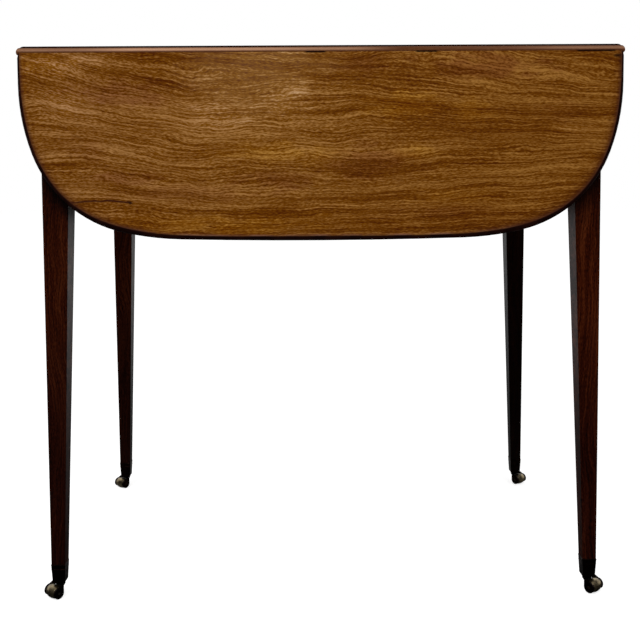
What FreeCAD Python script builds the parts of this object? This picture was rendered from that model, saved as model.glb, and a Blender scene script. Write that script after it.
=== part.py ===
"""Pembroke table: fixed top, two hanging leaves on rule joints, fly brackets, end drawer, legs on castors.

X runs along the leaves, Y from the front leaf to the back leaf, Z up. The floor is z = 0.
"""

import FreeCAD, Part
import math
import os
import Sketcher

# Sizes in millimetres
SIZES = {
    "table_height": 708.0,
    "top_length": 752.0,
    "end_overhang": 21.0,
    "frame_depth": 430.0,
    "frieze_height": 112.0,
    "board_thickness": 12.6,
    "edge_upper_radius": 7.4,
    "edge_lower_radius": 4.4,
    "leaf_stand_off": 11.4,
    "pin_inset": 3.8,
    "rule_fillet": 1.8,
    "rule_gap": 0.4,
    "leaf_reach": 233.9,
    "leaf_end_straight": 38.3,
    "leaf_corner_radius": 154.5,
    "leaf_shoulder_radius": 370.0,
    "hinge_inset": 146.0,
    "hinge_width": 40.0,
    "hinge_plate": 1.9,
    "hinge_clear": 0.5,
    "hinge_barrel_radius": 3.2,
    "hinge_pin_radius": 1.4,
    "hinge_knuckle": 10.0,
    "knuckle_gap": 0.35,
    "top_flap_length": 32.0,
    "leaf_flap_length": 52.0,
    "flap_screw_near": 19.0,
    "flap_screw_far": 42.0,
    "flap_screw_side": 12.0,
    "screw_head_radius": 3.0,
    "screw_head_depth": 1.5,
    "screw_shank_radius": 1.5,
    "flap_screw_length": 9.0,
    "running_clear": 0.06,
    "seat_clear": 0.03,
    "leg_square": 35.0,
    "leg_ankle": 17.6,
    "castor_height": 44.0,
    "inner_rail_thickness": 15.0,
    "tenon_thickness": 7.0,
    "tenon_depth": 14.0,
    "tenon_shoulder": 2.0,
    "fly_recess": 2.0,
    "fly_play": 0.4,
    "fly_axis": 62.0,
    "fly_end_length": 53.0,
    "fly_tip_bevel": 9.0,
    "fly_tip_gap": 1.2,
    "fly_tip_height": 52.0,
    "fly_straight": 60.0,
    "fly_sweep_radius": 78.0,
    "fly_pin_radius": 2.5,
    "end_recess": 1.0,
    "end_rail_thickness": 22.0,
    "drawer_rail_width": 32.0,
    "top_rail_thickness": 14.0,
    "bottom_rail_thickness": 16.0,
    "dovetail_root": 16.0,
    "dovetail_tip": 22.0,
    "dovetail_depth": 15.0,
    "rail_tenon_height": 8.0,
    "rail_tenon_width": 20.0,
    "strip_width": 20.0,
    "block_leg": 22.0,
    "stop_width": 30.0,
    "stop_height": 4.5,
    "stop_spread": 95.0,
    "stop_gap": 0.3,
    "drawer_side_play": 0.8,
    "drawer_low_play": 0.3,
    "drawer_high_play": 0.9,
    "drawer_length": 520.0,
    "drawer_front_thickness": 18.0,
    "drawer_lap": 5.0,
    "drawer_board": 9.0,
    "drawer_back_drop": 8.0,
    "drawer_bottom_lift": 6.0,
    "drawer_bottom_thickness": 6.0,
    "groove_depth": 4.0,
    "tail_root": 12.0,
    "tail_flare": 2.5,
    "bead_width": 3.0,
    "bead_depth": 7.0,
    "bead_stand": 2.0,
    "knob_spread": 95.0,
    "knob_rose_radius": 8.5,
    "knob_rose_thickness": 2.5,
    "knob_neck_radius": 4.2,
    "knob_neck_end": 7.0,
    "knob_radius": 10.0,
    "knob_bulge_at": 12.0,
    "knob_length": 17.0,
    "knob_tang_radius": 2.4,
    "knob_tang": 12.0,
    "top_screw_length": 22.0,
    "top_screw_inset": 166.0,
    "cup_height": 25.8,
    "cup_proud": 0.4,
    "cup_foot": 15.6,
    "cup_floor": 2.5,
    "cup_round": 2.4,
    "foot_tenon": 11.0,
    "spindle_radius": 3.0,
    "spindle_head_radius": 4.0,
    "spindle_head_height": 1.8,
    "spindle_room": 0.4,
    "wheel_radius": 8.4,
    "wheel_crown": 1.6,
    "wheel_width": 17.4,
    "wheel_hub_radius": 4.0,
    "wheel_dish": 1.0,
    "wheel_room": 0.9,
    "wheel_side_gap": 0.4,
    "cheek_thickness": 2.3,
    "castor_trail": 10.0,
    "axle_radius": 1.8,
    "cheek_end_radius": 7.2,
    "horn_boss_radius": 4.6,
    "horn_boss_height": 2.2,
    "cut_overrun": 6.0,
}
# Angles in degrees
ANGLES = {
    "leaf_side_angle": 20.0,
    "leaf_corner_angle": 57.0,
    "leaf_shoulder_angle": 11.5,
    "castor_rest_angle": 40.0,
}
FINGERS = 5
TAILS = 3

FRONT = -1
BACK = 1
LEFT = -1
RIGHT = 1
SIDES = {FRONT: "front", BACK: "back"}
ENDS = {LEFT: "left", RIGHT: "right"}

doc = FreeCAD.newDocument("pembroke_table")
sheet = doc.addObject("Spreadsheet::Sheet", "Sizes")
for row, (name, value) in enumerate({**SIZES, **ANGLES}.items(), start=1):
    sheet.set(f"A{row}", name)
    sheet.set(f"B{row}", str(value))
    sheet.setAlias(f"B{row}", name)
doc.recompute()


class Size:
    """A size that knows its number and the sheet expression that gives it."""

    def __init__(self, number, text):
        self.number = number
        self.text = text

    def __add__(self, other):
        other = as_size(other)
        return Size(self.number + other.number, f"({self.text} + {other.text})")

    def __sub__(self, other):
        other = as_size(other)
        return Size(self.number - other.number, f"({self.text} - {other.text})")

    def __mul__(self, other):
        other = as_size(other)
        return Size(self.number * other.number, f"({self.text} * {other.text})")

    def __truediv__(self, other):
        other = as_size(other)
        return Size(self.number / other.number, f"({self.text} / {other.text})")

    def __neg__(self):
        return Size(-self.number, f"(0 - {self.text})")

    __radd__ = __add__
    __rmul__ = __mul__


def as_size(value):
    return value if isinstance(value, Size) else Size(float(value), repr(float(value)))


def root(value):
    return Size(math.sqrt(value.number), f"sqrt({value.text})")


def sine(angle):
    return Size(math.sin(math.radians(angle.number)), f"sin({angle.text} * 1 deg)")


def cosine(angle):
    return Size(math.cos(math.radians(angle.number)), f"cos({angle.text} * 1 deg)")


class Table:
    """Gives each sheet cell by its name."""

    def __getattr__(self, name):
        return Size(float(sheet.get(name)), f"Sizes.{name}")


dim = Table()
zero = as_size(0)


def bind(item, path, value):
    item.setExpression(path, value.text)


def place(item, x, y, z, rotation=None):
    """Puts a piece at a bound spot, turned by a fixed rotation."""
    item.Placement = FreeCAD.Placement(FreeCAD.Vector(), rotation or FreeCAD.Rotation())
    bind(item, "Placement.Base.x", x)
    bind(item, "Placement.Base.y", y)
    bind(item, "Placement.Base.z", z)


def new_body(label):
    body = doc.addObject("PartDesign::Body", label)
    body.Label = label
    return body


def new_sketch(body, role, level):
    """A sketch on one of the body's origin planes, moved along its axis to the level."""
    plane = [item for item in body.Origin.OriginFeatures if item.Role == role][0]
    sketch = body.newObject("Sketcher::SketchObject", f"{body.Name}_sketch")
    sketch.AttachmentSupport = [(plane, "")]
    sketch.MapMode = "FlatFace"
    bind(sketch, "AttachmentOffset.Base.z", -level if role == "XZ_Plane" else level)
    return sketch


def hold(sketch, kind, geometry, point, value):
    if point is None:
        constraint = Sketcher.Constraint(kind, geometry, value.number)
    else:
        constraint = Sketcher.Constraint(kind, -1, 1, geometry, point, value.number)
    index = sketch.addConstraint(constraint)
    if "Sizes" in value.text:
        sketch.setExpression(f"Constraints[{index}]", value.text)


def outline(sketch, corners, bends=None):
    """Draws a closed outline; a bend turns the side after a corner into an arc of a radius round a centre."""
    bends = bends or {}
    corners = [(as_size(x), as_size(y)) for x, y in corners]
    first = len(sketch.Geometry)
    starts = []
    for index, (x, y) in enumerate(corners):
        next_x, next_y = corners[(index + 1) % len(corners)]
        here = FreeCAD.Vector(x.number, y.number, 0)
        there = FreeCAD.Vector(next_x.number, next_y.number, 0)
        if index not in bends:
            sketch.addGeometry(Part.LineSegment(here, there))
            starts.append(1)
            continue
        radius, centre_x, centre_y = bends[index]
        centre = FreeCAD.Vector(as_size(centre_x).number, as_size(centre_y).number, 0)
        begin = math.atan2(here.y - centre.y, here.x - centre.x)
        finish = math.atan2(there.y - centre.y, there.x - centre.x)
        forward = (finish - begin) % (2 * math.pi) < math.pi
        ends = (begin, finish) if forward else (finish, begin)
        circle = Part.Circle(centre, FreeCAD.Vector(0, 0, 1), radius.number)
        sketch.addGeometry(Part.ArcOfCircle(circle, *ends))
        starts.append(1 if forward else 2)
    for index, (x, y) in enumerate(corners):
        after = (index + 1) % len(corners)
        sketch.addConstraint(
            Sketcher.Constraint("Coincident", first + index, 3 - starts[index], first + after, starts[after])
        )
        hold(sketch, "DistanceX", first + index, starts[index], x)
        hold(sketch, "DistanceY", first + index, starts[index], y)
    for index, (radius, centre_x, centre_y) in bends.items():
        hold(sketch, "Radius", first + index, None, radius)


def rectangle(sketch, x_from, x_to, y_from, y_to):
    outline(sketch, [(x_from, y_from), (x_to, y_from), (x_to, y_to), (x_from, y_to)])


def ring(sketch, x, y, radius):
    """Draws a circle held at its centre."""
    index = len(sketch.Geometry)
    centre = FreeCAD.Vector(as_size(x).number, as_size(y).number, 0)
    sketch.addGeometry(Part.Circle(centre, FreeCAD.Vector(0, 0, 1), radius.number))
    hold(sketch, "DistanceX", index, 3, as_size(x))
    hold(sketch, "DistanceY", index, 3, as_size(y))
    hold(sketch, "Radius", index, None, radius)


def grow(body, sketch, length, both_ways=False, reverse=False, kind="Pad"):
    """Pads a sketch, or pockets it: a pocket cuts along the plane's axis when reversed."""
    feature = body.newObject(f"PartDesign::{kind}", f"{body.Name}_{kind.lower()}")
    feature.Profile = (sketch, [""])
    bind(feature, "Length", length)
    if both_ways:
        feature.SideType = "Symmetric"
    feature.Reversed = reverse
    body.Tip = feature
    return feature


def sink(body, sketch, length, both_ways=False, reverse=False):
    return grow(body, sketch, length, both_ways, reverse, kind="Pocket")


def turn_round(body, sketch, axis):
    """Turns a half profile round one of the sketch's own axes."""
    feature = body.newObject("PartDesign::Revolution", f"{body.Name}_turning")
    feature.Profile = (sketch, [""])
    feature.ReferenceAxis = (sketch, [axis])
    feature.Angle = 360.0
    body.Tip = feature
    return feature


def block(name, x, y, z):
    """A plain board between two limits along each axis."""
    item = doc.addObject("Part::Box", name)
    spans = [sorted((as_size(low), as_size(high)), key=lambda value: value.number) for low, high in (x, y, z)]
    for path, (low, high) in zip(("Length", "Width", "Height"), spans):
        bind(item, path, high - low)
    place(item, spans[0][0], spans[1][0], spans[2][0])
    return item


def rod(name, radius, length, x, y, z, rotation=None):
    """A round rod along its own Z from a spot."""
    item = doc.addObject("Part::Cylinder", name)
    bind(item, "Radius", radius)
    bind(item, "Height", length)
    place(item, as_size(x), as_size(y), as_size(z), rotation)
    return item


def taper_head(name, wide, narrow, depth, x, y, z, rotation=None):
    item = doc.addObject("Part::Cone", name)
    bind(item, "Radius1", wide)
    bind(item, "Radius2", narrow)
    bind(item, "Height", depth)
    place(item, as_size(x), as_size(y), as_size(z), rotation)
    return item


def join(name, items):
    item = doc.addObject("Part::MultiFuse", name)
    item.Shapes = items
    return item


def cut(name, base, tools):
    item = doc.addObject("Part::Cut", name)
    item.Base = base
    item.Tool = tools[0] if len(tools) == 1 else join(f"{name}_tools", tools)
    return item


def group(label, items):
    item = doc.addObject("Part::Compound", label)
    item.Links = items
    return item


NODES = {}


def keep(label, item):
    """Names a finished piece of the table."""
    item.Label = label
    NODES[label] = item
    return item


ALONG_X = FreeCAD.Rotation(FreeCAD.Vector(0, 1, 0), 90)
HALF_TURN = FreeCAD.Rotation(FreeCAD.Vector(0, 0, 1), 180)

# Heights and positions shared by several pieces
over = dim.cut_overrun
top_under = dim.table_height - dim.board_thickness
apron_low = top_under - dim.frieze_height
pin_out = dim.frame_depth / 2 + dim.leaf_stand_off + dim.pin_inset
pin_up = top_under + dim.pin_inset
rule_radius = dim.board_thickness - dim.pin_inset - dim.rule_fillet
rule_foot = root(rule_radius * rule_radius - dim.pin_inset * dim.pin_inset)
barrel_room = dim.pin_inset + dim.hinge_clear
frame_half = dim.top_length / 2 - dim.end_overhang
hinge_at = dim.top_length / 2 - dim.hinge_inset
top_screw_at = dim.top_length / 2 - dim.top_screw_inset
rail_end = frame_half - dim.leg_square
rail_inside = dim.frame_depth / 2 - dim.leg_square
rail_seam = rail_inside + dim.inner_rail_thickness
end_face = frame_half - dim.end_recess
dummy_inside = end_face - dim.end_rail_thickness
drawer_rail_inside = end_face - dim.drawer_rail_width
runner_top = apron_low + dim.bottom_rail_thickness
kicker_low = top_under - dim.top_rail_thickness
flap_screws = [(-dim.flap_screw_side, dim.flap_screw_near), (dim.flap_screw_side, dim.flap_screw_near)]
leaf_screws = flap_screws + [(zero, dim.flap_screw_far)]
kicker_middle = rail_inside - dim.strip_width / 2
top_screw_spots = [
    (end * top_screw_at, side * kicker_middle) for end in (LEFT, zero, RIGHT) for side in SIDES
]

# Top board: planed to the rule joint's round half along both sides, its ends rounded over
top = new_body("top_board")
section = new_sketch(top, "YZ_Plane", zero)
outline(
    section,
    [
        (-pin_out, dim.table_height),
        (pin_out, dim.table_height),
        (pin_out, pin_up + rule_radius),
        (pin_out + rule_foot, top_under),
        (-(pin_out + rule_foot), top_under),
        (-pin_out, pin_up + rule_radius),
    ],
    {2: (rule_radius, pin_out, pin_up), 4: (rule_radius, -pin_out, pin_up)},
)
grow(top, section, dim.top_length, both_ways=True)
ends = new_sketch(top, "XZ_Plane", zero)
for end in ENDS:
    tip = end * dim.top_length / 2
    upper = tip - end * dim.edge_upper_radius
    lower = tip - end * dim.edge_lower_radius
    upper_start = dim.table_height - dim.edge_upper_radius
    lower_start = top_under + dim.edge_lower_radius
    outline(
        ends,
        [
            (upper, dim.table_height),
            (upper, dim.table_height + over),
            (tip + end * over, dim.table_height + over),
            (tip + end * over, top_under - over),
            (lower, top_under - over),
            (lower, top_under),
            (tip, lower_start),
            (tip, upper_start),
        ],
        {
            5: (dim.edge_lower_radius, lower, lower_start),
            7: (dim.edge_upper_radius, upper, upper_start),
        },
    )
sink(top, ends, 2 * (pin_out + rule_radius + over), both_ways=True)
beds = new_sketch(top, "XY_Plane", top_under)
holes = new_sketch(top, "XY_Plane", top_under)
for x, y in top_screw_spots:
    ring(holes, x, y, dim.screw_shank_radius + dim.seat_clear)
for end in ENDS:
    middle = end * hinge_at
    for side in SIDES:
        rectangle(
            beds,
            middle - dim.hinge_width / 2,
            middle + dim.hinge_width / 2,
            side * (pin_out - dim.top_flap_length),
            side * (pin_out + rule_radius + over),
        )
        for x, y in flap_screws:
            ring(holes, middle + x, side * (pin_out - y), dim.screw_shank_radius + dim.seat_clear)
sink(top, beds, dim.hinge_plate, reverse=True)
sink(top, holes, dim.flap_screw_length, reverse=True)
for end in ENDS:
    trough = new_sketch(top, "YZ_Plane", end * hinge_at)
    for side in SIDES:
        outline(
            trough,
            [
                (side * pin_out - barrel_room, top_under - over),
                (side * pin_out - barrel_room, pin_up),
                (side * pin_out, pin_up + barrel_room),
                (side * pin_out + barrel_room, pin_up),
                (side * pin_out + barrel_room, top_under - over),
            ],
            {
                1: (barrel_room, side * pin_out, pin_up),
                2: (barrel_room, side * pin_out, pin_up),
            },
        )
    sink(top, trough, dim.hinge_width, both_ways=True)
keep("top_board", top)


# Leaves: drawn raised with the hinge pin as the origin, then hung
def hang(item, side):
    lowered = FreeCAD.Rotation(FreeCAD.Vector(1, 0, 0), -90)
    place(item, zero, side * pin_out, pin_up, lowered if side == BACK else HALF_TURN * lowered)


leaf_half = dim.top_length / 2
turn_one = dim.leaf_side_angle
turn_two = turn_one + dim.leaf_corner_angle
turn_three = turn_two + dim.leaf_shoulder_angle
corner_inset = dim.leaf_corner_radius * (cosine(turn_one) - cosine(turn_two))
corner_rise = dim.leaf_corner_radius * (sine(turn_two) - sine(turn_one))
shoulder_inset = dim.leaf_shoulder_radius * (cosine(turn_two) - cosine(turn_three))
shoulder_rise = dim.leaf_shoulder_radius * (sine(turn_three) - sine(turn_two))
# The side arc takes up what the straight end, corner, shoulder and front arc leave of the reach
side_drop = as_size(1) - cosine(turn_one)
front_drop = (as_size(1) - sine(turn_three)) / cosine(turn_three)
front_rise = (leaf_half - corner_inset - shoulder_inset) * front_drop
side_rise = dim.leaf_reach - dim.leaf_end_straight - corner_rise - shoulder_rise - front_rise
side_radius = side_rise / (sine(turn_one) - side_drop * front_drop)
inset_one = side_radius * side_drop
inset_two = inset_one + corner_inset
inset_three = inset_two + shoulder_inset
front_radius = (leaf_half - inset_three) / cosine(turn_three)
rise_three = front_radius * (as_size(1) - sine(turn_three))
rise_two = rise_three + shoulder_rise
rise_one = rise_two + corner_rise
side_end = dim.leaf_end_straight
for side, side_name in SIDES.items():
    leaf = new_body(f"{side_name}_leaf")
    shape = new_sketch(leaf, "XY_Plane", -dim.pin_inset)
    half = [
        (leaf_half, dim.rule_gap),
        (leaf_half, side_end),
        (leaf_half - inset_one, dim.leaf_reach - rise_one),
        (leaf_half - inset_two, dim.leaf_reach - rise_two),
        (leaf_half - inset_three, dim.leaf_reach - rise_three),
    ]
    centre_one = (leaf_half - side_radius, side_end)
    centre_two = (
        leaf_half - inset_one - dim.leaf_corner_radius * cosine(turn_one),
        dim.leaf_reach - rise_one - dim.leaf_corner_radius * sine(turn_one),
    )
    centre_three = (
        leaf_half - inset_two - dim.leaf_shoulder_radius * cosine(turn_two),
        dim.leaf_reach - rise_two - dim.leaf_shoulder_radius * sine(turn_two),
    )
    outline(
        shape,
        half + [(-x, y) for x, y in reversed(half)],
        {
            1: (side_radius, *centre_one),
            2: (dim.leaf_corner_radius, *centre_two),
            3: (dim.leaf_shoulder_radius, *centre_three),
            4: (front_radius, zero, dim.leaf_reach - front_radius),
            5: (dim.leaf_shoulder_radius, -centre_three[0], centre_three[1]),
            6: (dim.leaf_corner_radius, -centre_two[0], centre_two[1]),
            7: (side_radius, -centre_one[0], centre_one[1]),
        },
    )
    grow(leaf, shape, dim.board_thickness)
    doc.recompute()
    for radius, level in (
        (dim.edge_upper_radius, dim.board_thickness - dim.pin_inset),
        (dim.edge_lower_radius, -dim.pin_inset),
    ):
        names = []
        sharp = leaf.Tip
        for number, edge in enumerate(sharp.Shape.Edges, start=1):
            box = edge.BoundBox
            flat = box.ZLength < dim.seat_clear.number
            level_with = abs(box.Center.z - level.number) < dim.seat_clear.number
            if flat and level_with and box.YMax > dim.rule_gap.number + dim.seat_clear.number:
                names.append(f"Edge{number}")
        rounding = leaf.newObject("PartDesign::Fillet", f"{side_name}_leaf_edge")
        rounding.Base = (sharp, names)
        bind(rounding, "Radius", radius)
        leaf.Tip = rounding
        doc.recompute()
    hollow = rule_radius + dim.rule_gap
    cove = new_sketch(leaf, "YZ_Plane", zero)
    outline(
        cove,
        [
            (-over, -dim.pin_inset - over),
            (hollow, -dim.pin_inset - over),
            (hollow, zero),
            (zero, hollow),
            (-over, hollow),
        ],
        {2: (hollow, zero, zero)},
    )
    sink(leaf, cove, dim.top_length + over, both_ways=True)
    beds = new_sketch(leaf, "XY_Plane", -dim.pin_inset)
    holes = new_sketch(leaf, "XY_Plane", -dim.pin_inset)
    for end in ENDS:
        middle = end * hinge_at
        rectangle(
            beds,
            middle - dim.hinge_width / 2,
            middle + dim.hinge_width / 2,
            zero,
            dim.leaf_flap_length,
        )
        for x, y in leaf_screws:
            ring(holes, middle + x, y, dim.screw_shank_radius + dim.seat_clear)
    sink(leaf, beds, dim.hinge_plate, reverse=True)
    sink(leaf, holes, dim.flap_screw_length, reverse=True)
    hang(leaf, side)
    keep(f"{side_name}_leaf", leaf)


# Hinges: two plates on a three-part barrel, drawn round the pin with the plate running outwards
def flap(name, middle, length, knuckles, screws, bore):
    low = -dim.pin_inset
    span = (middle - dim.hinge_width / 2, middle + dim.hinge_width / 2)
    solids = [block(f"{name}_plate", span, (barrel_room, length), (low, low + dim.hinge_plate))]
    for number, (begin, finish) in enumerate(knuckles):
        limits = (middle + begin, middle + finish)
        reach = (zero, barrel_room + dim.hinge_plate)
        solids.append(block(f"{name}_tab{number}", limits, reach, (low, low + dim.hinge_plate)))
        solids.append(
            rod(f"{name}_barrel{number}", dim.hinge_barrel_radius, finish - begin, limits[0], zero, zero, ALONG_X)
        )
    tools = [rod(f"{name}_bore", bore, dim.hinge_width + over, span[0] - over / 2, zero, zero, ALONG_X)]
    for number, (x, y) in enumerate(screws):
        spot = (middle + x, y, low)
        tools.append(
            taper_head(
                f"{name}_sink{number}", dim.screw_head_radius, dim.screw_shank_radius, dim.screw_head_depth, *spot
            )
        )
        tools.append(
            rod(f"{name}_hole{number}", dim.screw_shank_radius + dim.seat_clear, dim.hinge_plate + over, *spot)
        )
    return cut(name, join(f"{name}_blank", solids), tools)


def screw(name, length, x, y, z):
    head = taper_head(
        f"{name}_head", dim.screw_head_radius, dim.screw_shank_radius, dim.screw_head_depth, x, y, z
    )
    shank = rod(f"{name}_shank", dim.screw_shank_radius, length, x, y, z)
    return join(name, [head, shank])


half_hinge = dim.hinge_width / 2
outer_knuckles = [
    (-half_hinge, -half_hinge + dim.hinge_knuckle),
    (half_hinge - dim.hinge_knuckle, half_hinge),
]
leaf_knuckle = half_hinge - dim.hinge_knuckle - dim.knuckle_gap
top_flaps = []
top_flap_screws = []
pins = []
for side, side_name in SIDES.items():
    leaf_flaps = []
    screws = []
    for end, end_name in ENDS.items():
        name = f"{side_name}_{end_name}"
        middle = end * hinge_at
        fixed = flap(
            f"{name}_top_flap",
            middle,
            dim.top_flap_length,
            outer_knuckles,
            flap_screws,
            dim.hinge_pin_radius + dim.seat_clear,
        )
        place(fixed, zero, side * pin_out, pin_up, HALF_TURN if side == BACK else None)
        top_flaps.append(fixed)
        pins.append(
            rod(
                f"{name}_hinge_pin",
                dim.hinge_pin_radius,
                dim.hinge_width,
                middle - half_hinge,
                side * pin_out,
                pin_up,
                ALONG_X,
            )
        )
        leaf_flaps.append(
            flap(
                f"{name}_leaf_flap",
                middle,
                dim.leaf_flap_length,
                [(-leaf_knuckle, leaf_knuckle)],
                leaf_screws,
                dim.hinge_pin_radius + dim.running_clear,
            )
        )
        for number, (x, y) in enumerate(flap_screws):
            spot = (middle + x, side * (pin_out - y), top_under)
            top_flap_screws.append(screw(f"{name}_top_screw{number}", dim.flap_screw_length, *spot))
        for number, (x, y) in enumerate(leaf_screws):
            spot = (middle + x, y, -dim.pin_inset)
            screws.append(screw(f"{name}_leaf_screw{number}", dim.flap_screw_length, *spot))
    flaps = keep(f"{side_name}_leaf_flaps", group(f"{side_name}_leaf_flaps", leaf_flaps))
    hang(flaps, side)
    fixings = keep(f"{side_name}_leaf_screws", group(f"{side_name}_leaf_screws", screws))
    hang(fixings, side)
keep("hinge_top_flaps", group("hinge_top_flaps", top_flaps))
keep("hinge_top_screws", group("hinge_top_screws", top_flap_screws))
keep("hinge_pins", group("hinge_pins", pins))

# Legs: square block with its mortises, taper on the two inner faces, shouldered foot for the castor cup
ankle_half = dim.leg_ankle / 2
cup_low = dim.castor_height - dim.cup_height
foot_low = cup_low + dim.cup_floor
side_tenon_low = runner_top + dim.tenon_shoulder
side_tenon_high = kicker_low - dim.tenon_shoulder
rail_middle = rail_inside + dim.inner_rail_thickness / 2
dummy_middle = (end_face + dummy_inside) / 2
drawer_rail_middle = (end_face + drawer_rail_inside) / 2
bottom_rail_middle = apron_low + dim.bottom_rail_thickness / 2
for side, side_name in SIDES.items():
    for end, end_name in ENDS.items():
        leg = new_body(f"leg_{side_name}_{end_name}")
        corner_x = end * frame_half
        corner_y = side * dim.frame_depth / 2
        inner_x = end * rail_end
        inner_y = side * rail_inside
        square = new_sketch(leg, "XY_Plane", apron_low)
        rectangle(square, corner_x, inner_x, corner_y, inner_y)
        grow(leg, square, dim.frieze_height)
        wide = new_sketch(leg, "XY_Plane", apron_low)
        rectangle(wide, corner_x, inner_x, corner_y, inner_y)
        narrow = new_sketch(leg, "XY_Plane", dim.castor_height)
        rectangle(narrow, corner_x, corner_x - end * dim.leg_ankle, corner_y, corner_y - side * dim.leg_ankle)
        taper = leg.newObject("PartDesign::AdditiveLoft", f"{leg.Name}_taper")
        taper.Profile = (wide, [""])
        taper.Sections = [(narrow, [""])]
        taper.Ruled = True
        leg.Tip = taper
        centre_x = corner_x - end * ankle_half
        centre_y = corner_y - side * ankle_half
        half_foot = dim.foot_tenon / 2
        foot = new_sketch(leg, "XY_Plane", foot_low)
        rectangle(foot, centre_x - half_foot, centre_x + half_foot, centre_y - half_foot, centre_y + half_foot)
        grow(leg, foot, dim.castor_height - foot_low)
        room = new_sketch(leg, "XY_Plane", foot_low)
        ring(room, centre_x, centre_y, dim.spindle_head_radius + dim.spindle_room)
        sink(leg, room, dim.spindle_head_height + 3 * dim.spindle_room, reverse=True)
        mortise = new_sketch(leg, "YZ_Plane", inner_x)
        half_tenon = dim.tenon_thickness / 2 + dim.seat_clear
        rectangle(
            mortise,
            side * rail_middle - half_tenon,
            side * rail_middle + half_tenon,
            side_tenon_low - dim.seat_clear,
            side_tenon_high + dim.seat_clear,
        )
        sink(leg, mortise, 2 * (dim.tenon_depth + dim.fly_play), both_ways=True)
        socket = new_sketch(leg, "XZ_Plane", inner_y)
        if end == LEFT:
            rectangle(
                socket,
                end * dummy_middle - half_tenon,
                end * dummy_middle + half_tenon,
                side_tenon_low - dim.seat_clear,
                side_tenon_high + dim.seat_clear,
            )
            sink(leg, socket, 2 * (dim.tenon_depth + dim.fly_play), both_ways=True)
        else:
            half_width = dim.rail_tenon_width / 2 + dim.seat_clear
            half_height = dim.rail_tenon_height / 2 + dim.seat_clear
            rectangle(
                socket,
                drawer_rail_middle - half_width,
                drawer_rail_middle + half_width,
                bottom_rail_middle - half_height,
                bottom_rail_middle + half_height,
            )
            sink(leg, socket, 2 * (dim.tenon_depth + dim.fly_play), both_ways=True)
            tail = new_sketch(leg, "XY_Plane", top_under)
            near = dim.dovetail_root / 2 + dim.seat_clear
            far = dim.dovetail_tip / 2 + dim.seat_clear
            reach = inner_y + side * (dim.dovetail_depth + dim.seat_clear)
            outline(
                tail,
                [
                    (drawer_rail_middle - near, inner_y - side * over),
                    (drawer_rail_middle - near, inner_y),
                    (drawer_rail_middle - far, reach),
                    (drawer_rail_middle + far, reach),
                    (drawer_rail_middle + near, inner_y),
                    (drawer_rail_middle + near, inner_y - side * over),
                ],
            )
            sink(leg, tail, dim.top_rail_thickness)
        keep(leg.Label, leg)

# Inner rails: long boards tenoned into the legs
for side, side_name in SIDES.items():
    name = f"{side_name}_inner_rail"
    boards = [
        block(
            f"{name}_board",
            (-rail_end, rail_end),
            (side * rail_inside, side * rail_seam),
            (apron_low, top_under),
        )
    ]
    for end, end_name in ENDS.items():
        boards.append(
            block(
                f"{name}_{end_name}_tenon",
                (end * (rail_end - over), end * (rail_end + dim.tenon_depth)),
                (side * rail_middle - dim.tenon_thickness / 2, side * rail_middle + dim.tenon_thickness / 2),
                (side_tenon_low, side_tenon_high),
            )
        )
    keep(name, join(name, boards))

# Fly brackets and the fixed middle of the outer rail, hinged on wooden knuckles
fly_face = dim.frame_depth / 2 - dim.fly_recess
fly_half = (fly_face - rail_seam) / 2
fly_line = (fly_face + rail_seam) / 2
finger_radius = fly_half - dim.fly_play
finger_pitch = dim.frieze_height / FINGERS
finger_height = finger_pitch - dim.fly_play
hollow_at = root(fly_half * fly_half / 2)
finger_at = root(finger_radius * finger_radius / 2)


def knuckle_fingers(body, axis_x, axis_y, toward, first, bore):
    """Every second finger of a knuckle, joined to the wood on one side and bored for the pin."""
    for number in range(first, FINGERS, 2):
        level = apron_low + number * finger_pitch + dim.fly_play / 2
        finger = new_sketch(body, "XY_Plane", level)
        web = axis_x + toward * (fly_half + dim.fly_play)
        outline(
            finger,
            [
                (web, axis_y - finger_at),
                (axis_x + toward * finger_at, axis_y - finger_at),
                (axis_x - toward * finger_radius, axis_y),
                (axis_x + toward * finger_at, axis_y + finger_at),
                (web, axis_y + finger_at),
            ],
            {1: (finger_radius, axis_x, axis_y), 2: (finger_radius, axis_x, axis_y)},
        )
        grow(body, finger, finger_height)
    hole = new_sketch(body, "XY_Plane", apron_low)
    ring(hole, axis_x, axis_y, bore)
    sink(body, hole, dim.frieze_height, reverse=True)


def shoulder(axis_x, axis_y, toward, half):
    """The bevelled and hollowed end of the wood at a knuckle, from one face to the other."""
    return [
        (axis_x + toward * half, axis_y - half),
        (axis_x + toward * hollow_at, axis_y - hollow_at),
        (axis_x + toward * hollow_at, axis_y + hollow_at),
        (axis_x + toward * half, axis_y + half),
    ]


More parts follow.
